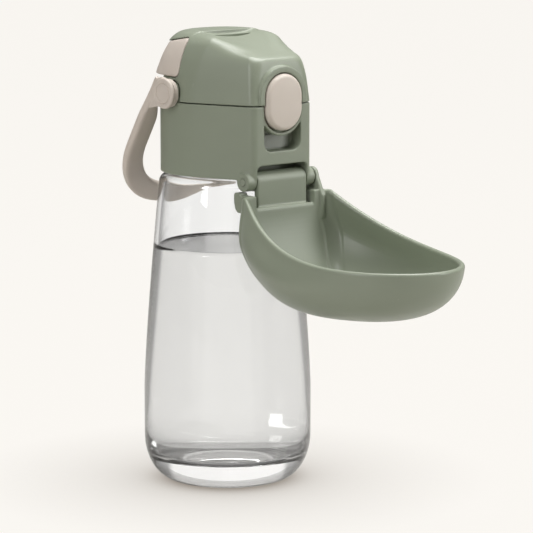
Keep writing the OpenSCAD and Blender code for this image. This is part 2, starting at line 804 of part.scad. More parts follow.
module bowl_shell() {
    color(sage)
        difference() {
            union() {
                bowl_bare();
                bowl_leaf();
                both_sides() bowl_lug();
                bowl_ear();
            }
            bar_y(bowl_pin_r + run_gap, -cap_r, cap_r, hinge_x, hinge_z);
        }
}

module bowl_hinge_pin() {
    color(sage) bar_y(bowl_pin_r, -knuckle_end, knuckle_end + ear_gap + ear_t, hinge_x, hinge_z);
}

bottle_body();
neck_seal();
collar();
cap_core();
drinking_spout();
spout_seal();
vent_valve();
latch_leaf();
button_cap();
button_latch();
button_spring();
handle_pins();
carry_handle();
lid_shell();
lid_liner();
spout_plug();
lid_screws();
rear_grip_pad();
lid_hinge_pin();
bowl_shell();
bowl_hinge_pin();
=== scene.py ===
"""Looks of a dog travel water bottle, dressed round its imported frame.

Sizes are in millimetres up to where a mesh is made, and in metres from there on.
"""

import json
import math

import bpy
import numpy as np
from mathutils import Matrix, Vector


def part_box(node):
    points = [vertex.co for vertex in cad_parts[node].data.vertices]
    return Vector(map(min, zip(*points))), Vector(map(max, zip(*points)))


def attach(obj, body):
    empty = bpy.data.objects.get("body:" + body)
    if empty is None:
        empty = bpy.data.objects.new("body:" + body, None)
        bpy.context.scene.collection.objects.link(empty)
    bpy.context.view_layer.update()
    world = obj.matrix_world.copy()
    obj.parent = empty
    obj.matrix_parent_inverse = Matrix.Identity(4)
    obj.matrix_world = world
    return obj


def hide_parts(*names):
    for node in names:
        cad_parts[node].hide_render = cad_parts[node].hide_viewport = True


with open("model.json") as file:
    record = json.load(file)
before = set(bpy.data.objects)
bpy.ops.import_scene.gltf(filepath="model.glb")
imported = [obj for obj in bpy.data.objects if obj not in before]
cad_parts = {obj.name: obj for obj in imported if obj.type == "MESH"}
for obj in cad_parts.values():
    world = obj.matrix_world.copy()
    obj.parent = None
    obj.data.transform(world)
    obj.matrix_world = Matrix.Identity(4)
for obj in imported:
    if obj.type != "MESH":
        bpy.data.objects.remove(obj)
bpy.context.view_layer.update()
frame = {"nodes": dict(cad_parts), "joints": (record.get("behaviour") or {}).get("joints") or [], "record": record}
MM = 0.001
TAU = 2 * math.pi

# The photograph's frame and where the bottle's axis stands in it
FRAME_PX = 533
AXIS_PX = (227.3, 254.7)
AXIS_POINT = Vector((0, 0, 0.106))
CAMERA_TURN = math.radians(39)
CAMERA_DISTANCE = 1.4
CAMERA_HEIGHT = 0.33
FOCAL_PX = 3025
SENSOR_MM = 36

# Studio: its backdrop, its light from above, and its grey sides as clear plastic sees them
BACKDROP = (0.965, 0.939, 0.896)
SKY = (1.0, 0.985, 0.96)
SKY_LOW = 0.12
SKY_HIGH = 0.5
CLEAR_VIEW = (1.0, 0.985, 0.965)
SIDE_GREY = (0.42, 0.415, 0.41)
FLAG_START = 0.52
FLAG_END = 0.62

# Each lamp: its name, place and target, its width and height in metres, and its watts
LAMPS = [("key", (0.25, -1.15, 0.6), (0, 0, 0.13), (0.22, 0.9), 5.6),
         ("overhead", (0.0, 0.35, 1.3), (0.02, 0, 0.12), (0.9, 0.9), 21),
         ("side", (1.2, 1.0, 0.85), (0, 0, 0.12), (0.5, 1.5), 14)]

# Floor, and the shade on it close to the bottle, seen plainly and through clear plastic
FLOOR_HALF_M = 12
FLOOR_ALBEDO = (0.5, 0.485, 0.46)
FLOOR_ROUGHNESS = 0.7
FLOOR_EVEN_SHARE = 0.97
FLOOR_SHADE = (0.3, 0.26, 0.22)
SHADE_REACH = 0.09
SHADE_THROUGH = (0.2, 0.2, 0.2)

# Moulded plastic and silicone: colours, painted highlights on outer edges, and grain in metres
SAGE = (0.235, 0.262, 0.198)
TAUPE = (0.58, 0.515, 0.455)
MILKY = (0.78, 0.78, 0.73)
SILICONE_GREY = (0.42, 0.43, 0.42)
# Grey of the latch leaf at the back of the button's recess, painted shade
LEAF_SHADE_GREY = (0.27, 0.29, 0.25)
MOULDED_IOR = 1.48
# Pale tone of the painted edge highlight, and the pointiness over which it comes in
EDGE_HIGHLIGHT_TONE = (0.8, 0.8, 0.76)
EDGE_HIGHLIGHT_START = 0.55
EDGE_HIGHLIGHT_END = 0.7
FLOW_SIZE = 0.03
GRAIN_DEPTH = 0.00005
GLOSS_SPREAD = 0.05

# Steel
STEEL_DARK = (0.30, 0.31, 0.29)
STEEL_LIGHT = (0.42, 0.43, 0.40)
STEEL_GRAIN = 0.0004

# Clear plastic and water, with painted shade where the eye looks along their surface, which draws dark lines along
# their edges
CLEAR = (0.985, 0.99, 0.99)
CLEAR_IOR = 1.5
WATER = (0.83, 0.825, 0.815)
WATER_IOR = 1.33
EDGE_START = 0.5
EDGE_END = 0.95
EDGE_SHADE = 0.18
SHADOW_SHADE = 0.86


def node_box(name):
    """Lowest and highest corner of a CAD node, in millimetres."""
    low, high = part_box(name)
    return np.array(low) / MM, np.array(high) / MM


def joint_axis(name):
    """X and Z of a joint's axis along Y, in millimetres."""
    place = next(j for j in frame["joints"] if j["name"] == name)["pos_m"]
    return place[0] / MM, place[2] / MM


PIVOT_X, PIVOT_Z = joint_axis("handle_swing")
LID_HINGE_X, LID_HINGE_Z = joint_axis("lid_flip")
HINGE_X, HINGE_Z = joint_axis("bowl_fold")

# Bottle
BODY_R = 39.2
BELLY_Z = 44
SHOULDER_Z = 141
SHOULDER_R = 31.8
SHOULDER_H = 4.4
BOTTLE_WALL = 2.6
FOOT_W = 14.5
FOOT_H = 21
FLOOR_Z = 12
FLOOR_T = 7
PUNT_R = 19
PUNT_H = 8.5
NECK_R = 26.6
NECK_WALL = 3
NECK_TOP = node_box("bottle_body")[1][2]
SIDE_POWER = 1.28
THREAD_H = 0.3
THREAD_PITCH = 6
THREAD_MARGIN = 2
THREAD_HALF_SHARE = 0.18
THREAD_POWER = 0.6
WATER_TOP = 112
WATER_REACH = 0.05
MENISCUS = 0.9

# Cap: a round back that runs on straight flanks to a flat front
CAP_R = 31
CAP_FRONT = node_box("collar")[1][0]
FRONT_HALF_W = 18.2
FRONT_CORNER_R = 4
COLLAR_Z = node_box("cap_core")[0][2]
COLLAR_TOP = 179.8
COLLAR_WALL = 2.5
CORE_R = node_box("cap_core")[1][0]
PART_GAP = 0.4
SEAT = 0.05

# Lid with its hood, front facet and slot
LID_Z = COLLAR_TOP + PART_GAP
LID_TOP = node_box("lid_shell")[1][2]
LID_H = LID_TOP - LID_Z
LID_EDGE = 15
LID_WALL = 3
CAVITY_TOP = node_box("lid_liner")[1][2] + SEAT
CREASE_H = 20.4
FACET_X = 3
FACET_SOFT = 8
CREASE_SOFT = 3.4
FACET_REAR_HALF_W = 12
FACET_FRONT_HALF_W = 22
FACET_SIDE_CLIMB = 1.1
FRONT_LEAN_SHARE = 0.5
SIDE_FULLNESS = 0.8
LID_SHARES = [(0, 0), (0.15, 0.05), (0.38, 0.13), (0.5, 0.19), (0.62, 0.26), (0.73, 0.35),
              (0.84, 0.47), (0.92, 0.62), (0.975, 0.8), (1, 1)]
LID_BARREL_R = 3.2
LID_KNUCKLE_HALF = 6
LID_EAR_LEN = 5
LID_PIN_R = 1.5
SLOT_LEN = 22.4
SLOT_W = 4.6
SLOT_DEPTH = 4.4
SLOT_X = 4
PAD_T = 2.6
PAD_FRONT = 0.3
PAD_OVER_PIVOT = 7.3
PAD_Z = PIVOT_Z + PAD_OVER_PIVOT
PAD_RISE = 2.4
PAD_CORNER_R = 2.6
PAD_SWELL = 1.11
PAD_DRAW = 0.11
HOOD_H = 4.8
HOOD_Z = LID_TOP - HOOD_H
HOOD_SWELL = 1.07
HOOD_FLARE = 0.02
REAR_POWER = 0.77

# Button, its pocket and the recess under it
BUTTON_HALF_W = 10.3
BUTTON_H = 26
BUTTON_TOP = 194.2
BUTTON_LOW = BUTTON_TOP - BUTTON_H
BUTTON_PROUD = 0.9
BUTTON_FRONT = node_box("button_cap")[1][0] + BUTTON_PROUD
BUTTON_T = 5.6
BUTTON_EDGE = 2.1
BUTTON_DOME = 0.35
POCKET_GAP = 0.5
POCKET_HALF_W = BUTTON_HALF_W + POCKET_GAP
POCKET_X = node_box("latch_leaf")[0][0] - SEAT
RECESS_Z = 158.9
RECESS_CORNER_R = 4.5
LIP_W = 1.4
LIP_GAP = 0.5
ARCH_W = 3
ARCH_PROUD = 0.8
WELL_R = 4
WELL_DEPTH = 3.4
STEM_R = 2.2
STEM_Z = sum(node_box("button_spring")[k][2] for k in (0, 1)) / 2

# Handle and its pins
EAR_R = 5.2
EAR_INNER_Y = CORE_R - 5 * SEAT
EYE_Y = CAP_R + PART_GAP + SEAT
EYE_T = 2.2
EYE_R = 6.6
HEAD_Y = EYE_Y + EYE_T + 7 * SEAT
HEAD_T = 1.8
HEAD_R = 7.1
HEAD_EDGE = 0.9
HEAD_RING_R = 4.7
HEAD_RING_W = 0.5
HEAD_RING_D = 0.35
HANDLE_PIN_R = 2.4
HANDLE_REACH = 72
HANDLE_HALF_W = 35.6
ARM_OFFSET = 9
WEB_DROP = 14
BAND_W = 10
BAND_T = 4.4
HANDLE_REST = math.radians(31.5)
ARM_SHARES = [(-0.05, 0.85), (-0.04, 0.92), (0, 1), (0.1, 1), (1, 1)]
FLARE_SHARES = (0.05, 0.57)
BAND_WIDTH_POWER = 0.45
BAND_THICK_POWER = 0.55
BEND_POWER = 0.92

# Bowl and its hinge
BOWL_TIP_X = HINGE_X + 113
BOWL_HALF_W = 37.6
BOWL_MID_X = BOWL_TIP_X - 1.46 * BOWL_HALF_W
BOWL_DEPTH = 27
BOWL_WALL = 2.8
BOWL_REAR_X = HINGE_X + 4
BOWL_REAR_HALF_W = 24
BOWL_CORNER_R = 5
BOWL_RIM_Z = HINGE_Z - 28.7
BOWL_RISE_X = BOWL_MID_X + 1.1 * BOWL_HALF_W
BOWL_TAPER_POWER = 1.9
BOWL_CLIMB_POWER = 2.8
BOWL_SIDE_POWER = 0.62
BOWL_SWELL_SHARE = 0.22
KNUCKLE_R = 4.3
BARREL_R = 4.5
LEAF_HALF_W = 14.4
KNUCKLE_Y = LEAF_HALF_W + PART_GAP
KNUCKLE_END = KNUCKLE_Y + 5
BOWL_PIN_R = 1.6
BOWL_SHOULDER_Z = HINGE_Z - KNUCKLE_R - 1.6
BOWL_LEDGE_Z = HINGE_Z - 11.4
NOTCH_H = 1.68 * KNUCKLE_R
NOTCH_CORNER_R = 2.4
EAR_GAP = 0.5
EAR_T = 2.2
RIB_DROP = 21
RIB_W = 7
LUG_BACK = 4.2
LUG_INSET = 2.2
LUG_H = 8

# Fineness of meshes
ROUND_STEPS = 192
REAR_STEPS = 160
CORNER_STEPS = 14
OVERRUN = 1
AXIS_R = 0.01
CRISP_DEGREES = 50

# Voxel in millimetres, smoothing passes and share of faces kept, where edges are rounded
LID_SOFTENING = (0.32, 10, 0.4)
PAD_SOFTENING = (0.28, 8, 0.5)
COLLAR_SOFTENING = (0.3, 6, 0.4)
HANDLE_SOFTENING = (0.3, 6, 0.5)
BOWL_SOFTENING = (0.36, 7, 0.4)


def aimed_basis(eye, target, pixel):
    """Directions forward, right and up that put target on pixel of the frame."""
    forward = (target - eye).normalized()
    for _ in range(30):
        right = forward.cross(Vector((0, 0, 1))).normalized()
        up = right.cross(forward)
        ray = target - eye
        x = FRAME_PX / 2 + FOCAL_PX * ray.dot(right) / ray.dot(forward)
        y = FRAME_PX / 2 - FOCAL_PX * ray.dot(up) / ray.dot(forward)
        forward += up * ((pixel[1] - y) / FOCAL_PX) - right * ((pixel[0] - x) / FOCAL_PX)
        forward.normalize()
    return forward, right, up


def make_camera():
    """Camera that sees the bottle's axis where the photograph has it."""
    eye = Vector((CAMERA_DISTANCE * math.cos(CAMERA_TURN),
                  -CAMERA_DISTANCE * math.sin(CAMERA_TURN), CAMERA_HEIGHT))
    forward, right, up = aimed_basis(eye, AXIS_POINT, AXIS_PX)
    data = bpy.data.cameras.new("camera")
    data.sensor_width = SENSOR_MM
    data.lens = FOCAL_PX / FRAME_PX * SENSOR_MM
    camera = bpy.data.objects.new("camera", data)
    turn = Matrix((right, up, -forward)).transposed().to_4x4()
    camera.matrix_world = Matrix.Translation(eye) @ turn
    bpy.context.scene.collection.objects.link(camera)
    bpy.context.scene.camera = camera


def area_light(name, place, target, size, power):
    data = bpy.data.lights.new(name, "AREA")
    data.shape = "RECTANGLE"
    data.size, data.size_y = size
    data.energy = power
    light = bpy.data.objects.new(name, data)
    light.location = place
    light.rotation_euler = (Vector(target) - Vector(place)).to_track_quat("-Z", "Y").to_euler()
    bpy.context.scene.collection.objects.link(light)


def new_material(name):
    material = bpy.data.materials.new(name)
    material.use_nodes = True
    nodes = material.node_tree.nodes
    return material, nodes, material.node_tree.links, nodes["Principled BSDF"]


def object_noise(nodes, links, size, detail=3):
    """Noise over the object's own metres, with grains of about size."""
    place = nodes.new("ShaderNodeTexCoord")
    noise = nodes.new("ShaderNodeTexNoise")
    noise.inputs["Scale"].default_value = 1 / size
    noise.inputs["Detail"].default_value = detail
    links.new(place.outputs["Object"], noise.inputs["Vector"])
    return noise.outputs["Fac"]


def ranged(nodes, links, source, low=0.0, high=1.0, start=0.0, end=1.0, smooth=False):
    """Value that goes from low to high as its source goes from start to end."""
    spread = nodes.new("ShaderNodeMapRange")
    if smooth:
        spread.interpolation_type = "SMOOTHSTEP"
    for socket, number in (("From Min", start), ("From Max", end), ("To Min", low), ("To Max", high)):
        spread.inputs[socket].default_value = number
    links.new(source, spread.inputs["Value"])
    return spread.outputs["Result"]


def mixed(nodes, links, factor, low, high):
    """Colour from low to high by a factor; each end is a colour or another node's socket."""
    mix = nodes.new("ShaderNodeMix")
    mix.data_type = "RGBA"
    links.new(factor, mix.inputs["Factor"])
    for end, tone in (("A", low), ("B", high)):
        if isinstance(tone, tuple):
            mix.inputs[end].default_value = (*tone, 1)
        else:
            links.new(tone, mix.inputs[end])
    return mix.outputs["Result"]


def switched(nodes, links, factor, first, second):
    """Shader that is first where the factor is 0 and second where it is 1."""
    mix = nodes.new("ShaderNodeMixShader")
    for socket, source in zip(mix.inputs, (factor, first, second)):
        links.new(source, socket)
    return mix.outputs[0]


def tinted(nodes, links, source, dark, light):
    """Colour from dark to light over the middle of a noise's values."""
    ramp = nodes.new("ShaderNodeValToRGB")
    for element, place, tone in zip(ramp.color_ramp.elements, (0.3, 0.7), (dark, light)):
        element.position = place
        element.color = (*tone, 1)
    links.new(source, ramp.inputs["Fac"])
    return ramp.outputs["Color"]


def shade(colour, factor):
    return tuple(c * factor for c in colour)


def flagged(nodes, links, direction):
    """Pale studio with a grey flag at each side, by direction or place from the object."""
    unit = nodes.new("ShaderNodeVectorMath")
    unit.operation = "NORMALIZE"
    links.new(direction, unit.inputs[0])
    side = nodes.new("ShaderNodeVectorMath")
    side.operation = "DOT_PRODUCT"
    side.inputs[1].default_value = (math.sin(CAMERA_TURN), math.cos(CAMERA_TURN), 0)
    links.new(unit.outputs["Vector"], side.inputs[0])
    size = nodes.new("ShaderNodeMath")
    size.operation = "ABSOLUTE"
    links.new(side.outputs["Value"], size.inputs[0])
    band = ranged(nodes, links, size.outputs[0], start=FLAG_START, end=FLAG_END, smooth=True)
    return mixed(nodes, links, band, CLEAR_VIEW, SIDE_GREY)


def make_world():
    """Studio light from above that fades to the horizon.

    The camera sees a plain backdrop. Clear plastic sees the pale studio with its grey
    sides, which draw the dark lines along a clear bottle's edges.
    """
    world = bpy.data.worlds.new("studio")
    bpy.context.scene.world = world
    world.use_nodes = True
    nodes, links = world.node_tree.nodes, world.node_tree.links
    place = nodes.new("ShaderNodeTexCoord").outputs["Generated"]
    split = nodes.new("ShaderNodeSeparateXYZ")
    links.new(place, split.inputs[0])
    sky = nodes["Background"]
    sky.inputs["Color"].default_value = (*SKY, 1)
    links.new(ranged(nodes, links, split.outputs["Z"], SKY_LOW, SKY_HIGH), sky.inputs["Strength"])
    around = nodes.new("ShaderNodeBackground")
    links.new(flagged(nodes, links, place), around.inputs["Color"])
    backdrop = nodes.new("ShaderNodeBackground")
    backdrop.inputs["Color"].default_value = (*BACKDROP, 1)
    path = nodes.new("ShaderNodeLightPath")
    unseen = switched(nodes, links, path.outputs["Is Transmission Ray"],
                      sky.outputs[0], around.outputs[0])
    final = switched(nodes, links, path.outputs["Is Camera Ray"], unseen, backdrop.outputs[0])
    links.new(final, nodes["World Output"].inputs["Surface"])


def painted_edge_highlight(nodes, links, colour, lift):
    """A colour that turns paler on outer edges: a painted highlight where moulded plastic edges catch light."""
    geometry = nodes.new("ShaderNodeNewGeometry")
    edge = ranged(nodes, links, geometry.outputs["Pointiness"], high=lift, start=EDGE_HIGHLIGHT_START, end=EDGE_HIGHLIGHT_END)
    return mixed(nodes, links, edge, colour, EDGE_HIGHLIGHT_TONE)


def moulded_plastic(name, colour, roughness, grain=0.00035, bump=0.06, vary=0.025, lift=0.06):
    """Satin moulded plastic: faint flow in its colour, a painted highlight on outer edges, fine grain in its gloss
    and height.
    """
    material, nodes, links, skin = new_material(name)
    flow = object_noise(nodes, links, FLOW_SIZE)
    tint = tinted(nodes, links, flow, shade(colour, 1 - vary), shade(colour, 1 + vary))
    # Outer edges get a painted highlight, as strong as lift
    links.new(painted_edge_highlight(nodes, links, tint, lift), skin.inputs["Base Color"])
    fine = object_noise(nodes, links, grain, detail=2)
    links.new(ranged(nodes, links, fine, roughness - GLOSS_SPREAD, roughness + GLOSS_SPREAD),
              skin.inputs["Roughness"])
    height = nodes.new("ShaderNodeBump")
    height.inputs["Strength"].default_value = bump
    height.inputs["Distance"].default_value = GRAIN_DEPTH
    links.new(fine, height.inputs["Height"])
    links.new(height.outputs["Normal"], skin.inputs["Normal"])
    skin.inputs["IOR"].default_value = MOULDED_IOR
    return material


def clear_material(name, colour, ior):
    """Clear plastic or water, with painted shade where the eye looks along it, for dark lines along its edges; it
    casts a pale shadow.
    """
    material, nodes, links, skin = new_material(name)
    facing = nodes.new("ShaderNodeLayerWeight")
    facing.inputs["Blend"].default_value = 0.5
    edge = ranged(nodes, links, facing.outputs["Facing"], start=EDGE_START, end=EDGE_END, smooth=True)
    # Painted shade: the colour darkens where the eye looks along the surface
    links.new(mixed(nodes, links, edge, colour, shade(colour, EDGE_SHADE)), skin.inputs["Base Color"])
    skin.inputs["Roughness"].default_value = 0
    skin.inputs["IOR"].default_value = ior
    skin.inputs["Transmission Weight"].default_value = 1
    through = nodes.new("ShaderNodeBsdfTransparent")
    through.inputs["Color"].default_value = (*shade(colour, SHADOW_SHADE), 1)
    path = nodes.new("ShaderNodeLightPath")
    final = switched(nodes, links, path.outputs["Is Shadow Ray"], skin.outputs[0], through.outputs[0])
    links.new(final, nodes["Material Output"].inputs["Surface"])
    return material


def steel_material():
    material, nodes, links, skin = new_material("brushed_steel")
    skin.inputs["Metallic"].default_value = 1
    fine = object_noise(nodes, links, STEEL_GRAIN)
    links.new(tinted(nodes, links, fine, STEEL_DARK, STEEL_LIGHT), skin.inputs["Base Color"])
    links.new(ranged(nodes, links, fine, 0.3, 0.45), skin.inputs["Roughness"])
    return material


def floor_material():
    """Pale floor with its shadow, and a soft shade close to what stands on it.

    The camera sees it mostly as the backdrop, and clear plastic sees it as the studio.
    """
    material, nodes, links, skin = new_material("pale_floor")
    skin.inputs["Base Color"].default_value = (*FLOOR_ALBEDO, 1)
    skin.inputs["Roughness"].default_value = FLOOR_ROUGHNESS
    path = nodes.new("ShaderNodeLightPath")
    contact = nodes.new("ShaderNodeAmbientOcclusion")
    contact.inputs["Distance"].default_value = SHADE_REACH
    even = nodes.new("ShaderNodeEmission")
    links.new(mixed(nodes, links, contact.outputs["AO"], FLOOR_SHADE, BACKDROP), even.inputs["Color"])
    share = nodes.new("ShaderNodeMath")
    share.operation = "MULTIPLY"
    share.inputs[1].default_value = FLOOR_EVEN_SHARE
    links.new(path.outputs["Is Camera Ray"], share.inputs[0])
    seen = switched(nodes, links, share.outputs[0], skin.outputs[0], even.outputs[0])
    around = flagged(nodes, links, nodes.new("ShaderNodeTexCoord").outputs["Object"])
    studio = nodes.new("ShaderNodeEmission")
    links.new(mixed(nodes, links, contact.outputs["AO"], SHADE_THROUGH, around), studio.inputs["Color"])
    final = switched(nodes, links, path.outputs["Is Transmission Ray"], seen, studio.outputs[0])
    links.new(final, nodes["Material Output"].inputs["Surface"])
    return material


MATERIALS = {
    "sage_plastic": moulded_plastic("sage_plastic", SAGE, 0.36),
    "taupe_plastic": moulded_plastic("taupe_plastic", TAUPE, 0.45),
    "milky_plastic": moulded_plastic("milky_plastic", MILKY, 0.4),
    "grey_silicone": moulded_plastic("grey_silicone", SILICONE_GREY, 0.6, bump=0.03),
    "steel": steel_material(),
    "clear_plastic": clear_material("clear_plastic", CLEAR, CLEAR_IOR),
}
SLOTS = {p["node"]: p["material_slot"] for p in frame["record"]["subparts"]}
BODIES = {n: b for b, ns in frame["record"]["behaviour"]["bodies"].items() for n in ns}


def new_solid(name, verts, faces):
    """An object with a mesh of points in millimetres."""
    mesh = bpy.data.meshes.new(name)
    mesh.from_pydata((np.asarray(verts, float) * MM).tolist(), [], faces)
    mesh.validate()
    solid = bpy.data.objects.new(name, mesh)
    bpy.context.scene.collection.objects.link(solid)
    return solid


def as_piece(solid, body, slot=None, material=None, smooth=True, node=None):
    """Finishes a solid as a piece that rides on a body, with its slot's material."""
    solid.data.materials.clear()
    solid.data.materials.append(material or MATERIALS[slot])
    solid.data.polygons.foreach_set("use_smooth", [smooth] * len(solid.data.polygons))
    if body:
        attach(solid, body)
    if node:
        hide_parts(node)
    return solid


def stands_for(solid, node, name):
    """Makes a solid the visible piece for one CAD node, under a name of its own."""
    solid.name = name
    return as_piece(solid, BODIES[node], slot=SLOTS[node], node=node)


def loft(rings, name="form"):
    """A closed solid through rings that all have as many points."""
    rings = np.asarray(rings, float)
    m, n = rings.shape[:2]
    verts = np.vstack([rings.reshape(-1, 3), rings[0].mean(0), rings[-1].mean(0)])
    faces = []
    for k in range(m - 1):
        for i in range(n):
            j = (i + 1) % n
            faces.append((k * n + i, k * n + j, (k + 1) * n + j, (k + 1) * n + i))
    for i in range(n):
        j = (i + 1) % n
        faces.append((m * n, j, i))
        faces.append((m * n + 1, (m - 1) * n + i, (m - 1) * n + j))
    return facing_out(new_solid(name, verts, faces))


def volume(solid):
    """Signed volume of a closed mesh, which shows whether its faces point out."""
    mesh = solid.data
    mesh.calc_loop_triangles()
    points = np.array([v.co for v in mesh.vertices])
    tris = np.array([t.vertices for t in mesh.loop_triangles])
    a, b, c = points[tris[:, 0]], points[tris[:, 1]], points[tris[:, 2]]
    return float(np.einsum("ij,ij->i", a, np.cross(b, c)).sum())


def facing_out(solid):
    """Turns the faces of a closed solid outwards."""
    if volume(solid) < 0:
        solid.data.flip_normals()
    return solid


def crisp(solid, degrees=CRISP_DEGREES):
    """Keeps edges sharper than an angle from being shaded smooth."""
    solid.modifiers.new("crisp", "EDGE_SPLIT").split_angle = math.radians(degrees)


def prism(outline, place, low, high):
    """A solid from an outline, pushed from low to high and set in space by place(u, v, w)."""
    n = len(outline)
    verts = [place(u, v, w) for w in (low, high) for u, v in outline]
    faces = [(i, (i + 1) % n, n + (i + 1) % n, n + i) for i in range(n)]
    faces += [tuple(range(n))[::-1], tuple(range(n, 2 * n))]
    return facing_out(new_solid("prism", verts, faces))


def along_x(outline, x0, x1):
    return prism(outline, lambda u, v, w: (w, u, v), x0, x1)


def along_y(outline, y0, y1):
    return prism(outline, lambda u, v, w: (u, w, v), y0, y1)


def along_z(outline, z0, z1):
    return prism(outline, lambda u, v, w: (u, v, w), z0, z1)


def arc(r, u, v, start=0.0, end=360.0, steps=ROUND_STEPS):
    """Points of an arc round (u, v), in degrees; a full turn leaves its last point out."""
    a = np.radians(np.linspace(start, end, steps, endpoint=end - start < 360))
    return [(u + r * math.cos(t), v + r * math.sin(t)) for t in a]


def bar_y(r, y0, y1, x, z):
    return along_y(arc(r, x, z, steps=96), y0, y1)


def box(x0, x1, y0, y1, z0, z1):
    return along_z([(x0, y0), (x1, y0), (x1, y1), (x0, y1)], z0, z1)


def stadium(half_w, z0, z1):
    return (arc(half_w, 0, z1 - half_w, 0, 180, 64) + arc(half_w, 0, z0 + half_w, 180, 360.001, 64))


def settle(solid):
    """Applies a solid's modifiers to its mesh."""
    graph = bpy.context.evaluated_depsgraph_get()
    mesh = bpy.data.meshes.new_from_object(solid.evaluated_get(graph))
    old = solid.data
    solid.modifiers.clear()
    solid.data = mesh
    bpy.data.meshes.remove(old)


def combine(base, others, operation):
    """Joins others to base, cuts them from it or keeps what they share, and uses them up."""
    for other in others:
        step = base.modifiers.new("step", "BOOLEAN")
        step.operation = operation
        step.solver = "MANIFOLD"
        step.object = other
    settle(base)
    for other in others:
        bpy.data.objects.remove(other)
    return base


def join(base, *others):
    return combine(base, others, "UNION")


def cut(base, *others):
    return combine(base, others, "DIFFERENCE")


def shared(base, *others):
    return combine(base, others, "INTERSECT")


def softened(solid, voxel, passes, keep):
    """Remeshes a solid evenly and rounds its edges; keep is the share of faces left."""
    fine = solid.modifiers.new("fine", "REMESH")
    fine.mode = "VOXEL"
    fine.voxel_size = voxel * MM
    ease_edges = solid.modifiers.new("ease", "SMOOTH")
    ease_edges.factor = 0.5
    ease_edges.iterations = passes
    fewer = solid.modifiers.new("fewer", "DECIMATE")
    fewer.ratio = keep
    settle(solid)
    return solid


def ease(t):
    u = np.clip(t, 0, 1)
    return u * u * (3 - 2 * u)


def smooth_through(pairs, t):
    """Height at t of a smooth rising curve through pairs of shares."""
    x, y = np.array(pairs, float).T
    step = np.diff(x)
    rise = np.diff(y) / step
    slope = np.concatenate([rise[:1], 2 * rise[:-1] * rise[1:] / np.maximum(rise[:-1] + rise[1:], 1e-9),
                            rise[-1:]])
    k = np.clip(np.searchsorted(x, t, side="right") - 1, 0, len(x) - 2)
    u = (t - x[k]) / step[k]
    return (y[k] * (1 + 2 * u) * (1 - u) ** 2 + y[k + 1] * u * u * (3 - 2 * u)
            + step[k] * (slope[k] * u * (1 - u) ** 2 + slope[k + 1] * u * u * (u - 1)))


def cap_plan(inset=0.0):
    """Plan of the cap, drawn in by inset."""
    r = CAP_R - inset
    rc = min(FRONT_CORNER_R + 0.5 * inset, 0.8 * (FRONT_HALF_W - inset))
    cx, cy = CAP_FRONT - inset - rc, FRONT_HALF_W - inset - rc
    a = math.atan2(cy, cx) + math.acos((r - rc) / math.hypot(cx, cy))
    corner = np.linspace(0, a, CORNER_STEPS)
    rear = np.linspace(a, TAU - a, REAR_STEPS)
    near = np.c_[cx + rc * np.cos(corner), cy + rc * np.sin(corner)]
    return np.vstack([near, np.c_[r * np.cos(rear), r * np.sin(rear)], near[::-1] * (1, -1)])


def facet_z(x, y):
    """Height of the sloped front facet over a point of the plan; beside the facet it climbs away."""
    u = x - FACET_X
    slope = (LID_H - CREASE_H) * (u + np.hypot(u, FACET_SOFT)) / 2 / (CAP_FRONT - FACET_X)
    half_w = FACET_REAR_HALF_W + (FACET_FRONT_HALF_W - FACET_REAR_HALF_W) * u / (CAP_FRONT - FACET_X)
    over = np.abs(y) - half_w
    return LID_TOP - slope + FACET_SIDE_CLIMB * (over + np.hypot(over, CREASE_SOFT)) / 2


def lid_points(plan, inset, level):
    front = inset * ease(plan[:, 0] / CAP_FRONT)
    x = plan[:, 0] + (1 - FRONT_LEAN_SHARE) * front
    y = plan[:, 1] * (1 + SIDE_FULLNESS * front / FRONT_HALF_W)
    top = facet_z(x, y)
    z = (level + top - np.hypot(level - top, CREASE_SOFT)) / 2
    return np.c_[x, y, np.maximum(z, LID_Z)]


def lid_inset(z):
    return LID_EDGE * float(smooth_through(LID_SHARES, np.array((z - LID_Z) / LID_H)))


def lid_form(shrink=0.0):
    """The lid's outer form, or its inside at a depth of shrink."""
    rings = []
    for u in np.linspace(0, 1, 56):
        s = 1 - (1 - u) ** 2
        inset = LID_EDGE * float(smooth_through(LID_SHARES, np.array(s)))
        rings.append(lid_points(cap_plan(inset + shrink), inset, LID_Z + s * (LID_H - shrink)))
    plan = cap_plan(LID_EDGE + shrink)
    for q in np.linspace(0, 0.97, 14)[1:]:
        drawn = np.c_[plan[:, 0] + (FACET_X - plan[:, 0]) * q, plan[:, 1] * (1 - q)]
        rings.append(lid_points(drawn, LID_EDGE, LID_TOP - shrink))
    return loft(rings, "lid_form")


def rear_ring(z, swell):
    """Squarish outline of the lid's rear, which stands proud at its corners."""
    w = CAP_R - lid_inset(z)
    a = np.radians(np.linspace(90, -90, REAR_STEPS // 2))
    return np.c_[-w * swell * np.abs(np.cos(a)) ** REAR_POWER,
                 w * np.sign(a) * np.abs(np.sin(a)) ** REAR_POWER, np.full(len(a), z)]


def grip_form():
    top = HOOD_Z + PAD_RISE
    return loft([rear_ring(PAD_Z + q * (top - PAD_Z), PAD_SWELL - PAD_DRAW * q)
                 for q in np.linspace(0, 1, 24)])


def hood_form():
    low = HOOD_Z - PAD_RISE
    return loft([rear_ring(low + q * (LID_TOP - low), HOOD_SWELL + HOOD_FLARE * q)
                 for q in np.linspace(0, 0.99, 16)])


